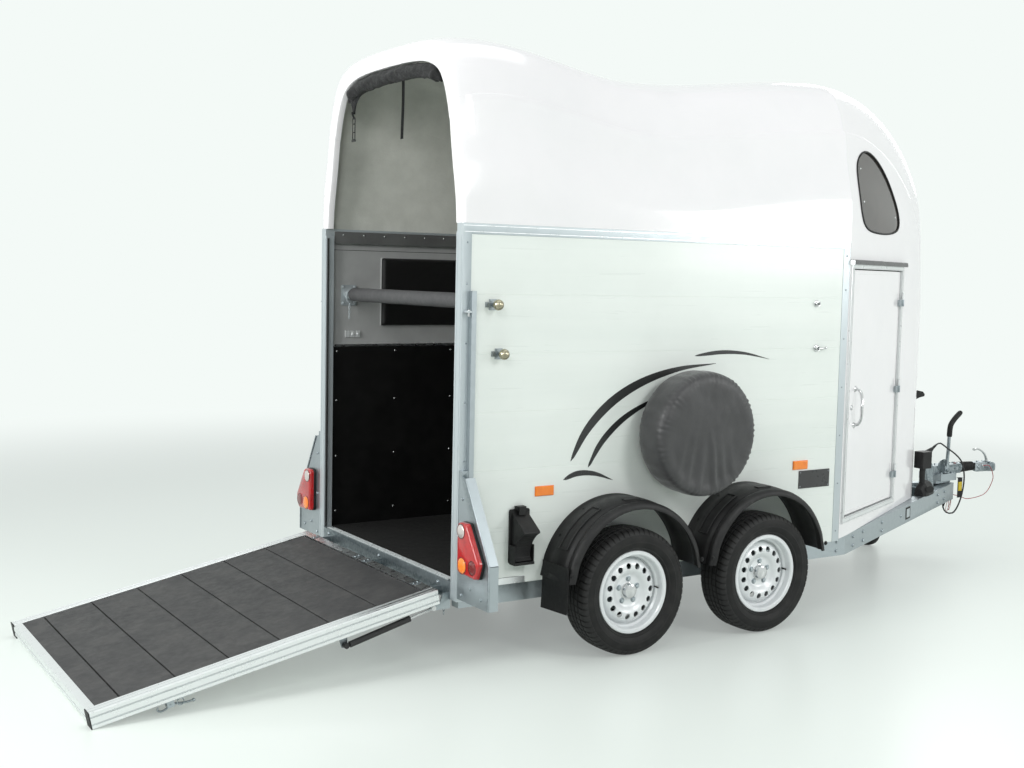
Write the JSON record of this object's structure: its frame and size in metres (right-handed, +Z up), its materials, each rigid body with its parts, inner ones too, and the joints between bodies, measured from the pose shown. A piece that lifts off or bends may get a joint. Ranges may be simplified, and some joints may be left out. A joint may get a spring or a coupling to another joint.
{
  "type": "horse trailer",
  "caption": "Tandem-axle horse trailer with a white moulded hood and nose, plank walls, a lowered rear ramp, a side door and an overrun coupling",
  "frame": {"origin": "middle of the bounding box in plan, on the ground", "axes": "+X forward to the coupling, +Y to the left side, +Z up"},
  "size_m": [6.259, 2.032, 2.8574],
  "materials": {
    "alu": "anodised extrusion",
    "black_fabric": "woven",
    "black_plastic": "grained black",
    "black_rubber": "matt",
    "cable_black": "smooth",
    "cable_red": "coated steel cable",
    "floor_rubber": "ribbed mat",
    "galvanised": "hot-dip galvanised",
    "lamp_red": "clear red",
    "plank_alu": "light silver-grey coated planks",
    "rim_silver": "silver paint",
    "smoked_glass": "smoked",
    "tyre_rubber": "matt",
    "white_grp": "glossy white gelcoat"
  },
  "bodies": {
    "trailer": {"axle_front": "galvanised", "axle_rear": "galvanised", "bellows": "black_rubber", "breakaway_cable": "cable_red", "breast_bar": "black_rubber", "breech_bar": "black_rubber", "cable": "cable_black", "chassis_frame": "galvanised", "chock_holder": "black_plastic", "coupling_head": "galvanised", "curtain_roll": "black_fabric", "door_frame": "alu", "drawbar_case": "black_plastic", "floor_panel": "floor_rubber", "handbrake_lever": "galvanised", "jockey_clamp": "galvanised", "kick_panel_left": "black_plastic", "kick_panel_right": "black_plastic", "lamp_wing_left": "galvanised", "lamp_wing_right": "galvanised", "mudguard_left": "black_plastic", "mudguard_right": "black_plastic", "nose_floor": "floor_rubber", "nose_hook": "black_plastic", "nose_shell": "white_grp", "overrun_housing": "galvanised", "plug": "black_plastic", "plug_holder": "galvanised", "rear_sill": "galvanised", "roof_hood": "white_grp", "side_frame_left": "alu", "side_frame_right": "alu", "spare_carrier": "galvanised", "spare_cover": "black_fabric", "tail_lamp_left": "lamp_red", "tail_lamp_right": "lamp_red", "wall_left": "plank_alu", "wall_pad_left": "black_fabric", "wall_pad_right": "black_fabric", "wall_right": "plank_alu", "wheel_chock": "black_plastic", "window_left": "smoked_glass", "window_right": "smoked_glass"},
    "ramp": {"ramp_frame": "alu", "ramp_boards": "black_rubber"},
    "strut_tube": {"strut_cylinder": "black_plastic"},
    "strut_slider": {"strut_rod": "galvanised"},
    "door": {"groom_door": "white_grp"},
    "jockey_inner": {"jockey_tube": "galvanised"},
    "jockey_caster": {"jockey_fork": "galvanised"},
    "jockey_roller": {"jockey_wheel": "tyre_rubber"},
    "wheel_rear_right": {"tyre_rear_right": "tyre_rubber", "rim_rear_right": "rim_silver"},
    "wheel_rear_left": {"tyre_rear_left": "tyre_rubber", "rim_rear_left": "rim_silver"},
    "wheel_front_right": {"tyre_front_right": "tyre_rubber", "rim_front_right": "rim_silver"},
    "wheel_front_left": {"tyre_front_left": "tyre_rubber", "rim_front_left": "rim_silver"}
  },
  "joints": [
    {"name": "ramp_hinge", "type": "hinge", "parent": "trailer", "child": "ramp", "pos_m": [-1.58445, 0, 0.336], "axis": [0, 1, 0], "range_deg": [0, 101.46]},
    {"name": "strut_eye", "type": "hinge", "parent": "ramp", "child": "strut_tube", "pos_m": [-2.04019, -0.69, 0.16812], "axis": [0, 1, 0], "range_deg": [-1.87, 1]},
    {"name": "strut_extend", "type": "slide", "parent": "strut_tube", "child": "strut_slider", "axis": [0.9666, 0, 0.2564], "range_m": [-0.002, 0.10317]},
    {"name": "door_hinge", "type": "hinge", "parent": "trailer", "child": "door", "pos_m": [1.6578, -0.41772, 1.1], "axis": [0, 0, 1], "range_deg": [0, 105]},
    {"name": "jockey_slide", "type": "slide", "parent": "trailer", "child": "jockey_inner", "axis": [0, 0, 1], "range_m": [-0.08, 0.1]},
    {"name": "jockey_swivel", "type": "hinge", "parent": "jockey_inner", "child": "jockey_caster", "pos_m": [2.26555, 0.26214, 0.22], "axis": [0, 0, 1], "continuous": true},
    {"name": "jockey_spin", "type": "hinge", "parent": "jockey_caster", "child": "jockey_roller", "pos_m": [2.26555, 0.31714, 0.1], "axis": [1, 0, 0], "continuous": true},
    {"name": "spin_rear_right", "type": "hinge", "parent": "trailer", "child": "wheel_rear_right", "pos_m": [-0.69255, -0.867, 0.3], "axis": [0, 1, 0], "continuous": true},
    {"name": "spin_rear_left", "type": "hinge", "parent": "trailer", "child": "wheel_rear_left", "pos_m": [-0.69255, 0.867, 0.3], "axis": [0, 1, 0], "continuous": true},
    {"name": "spin_front_right", "type": "hinge", "parent": "trailer", "child": "wheel_front_right", "pos_m": [0.13645, -0.867, 0.3], "axis": [0, 1, 0], "continuous": true},
    {"name": "spin_front_left", "type": "hinge", "parent": "trailer", "child": "wheel_front_left", "pos_m": [0.13645, 0.867, 0.3], "axis": [0, 1, 0], "continuous": true}
  ],
  "couplings": [
    {"joint": "strut_eye", "follows": "ramp_hinge", "ratio": -0.008562},
    {"joint": "strut_extend", "follows": "ramp_hinge", "m_per_rad": 0.057133}
  ]
}
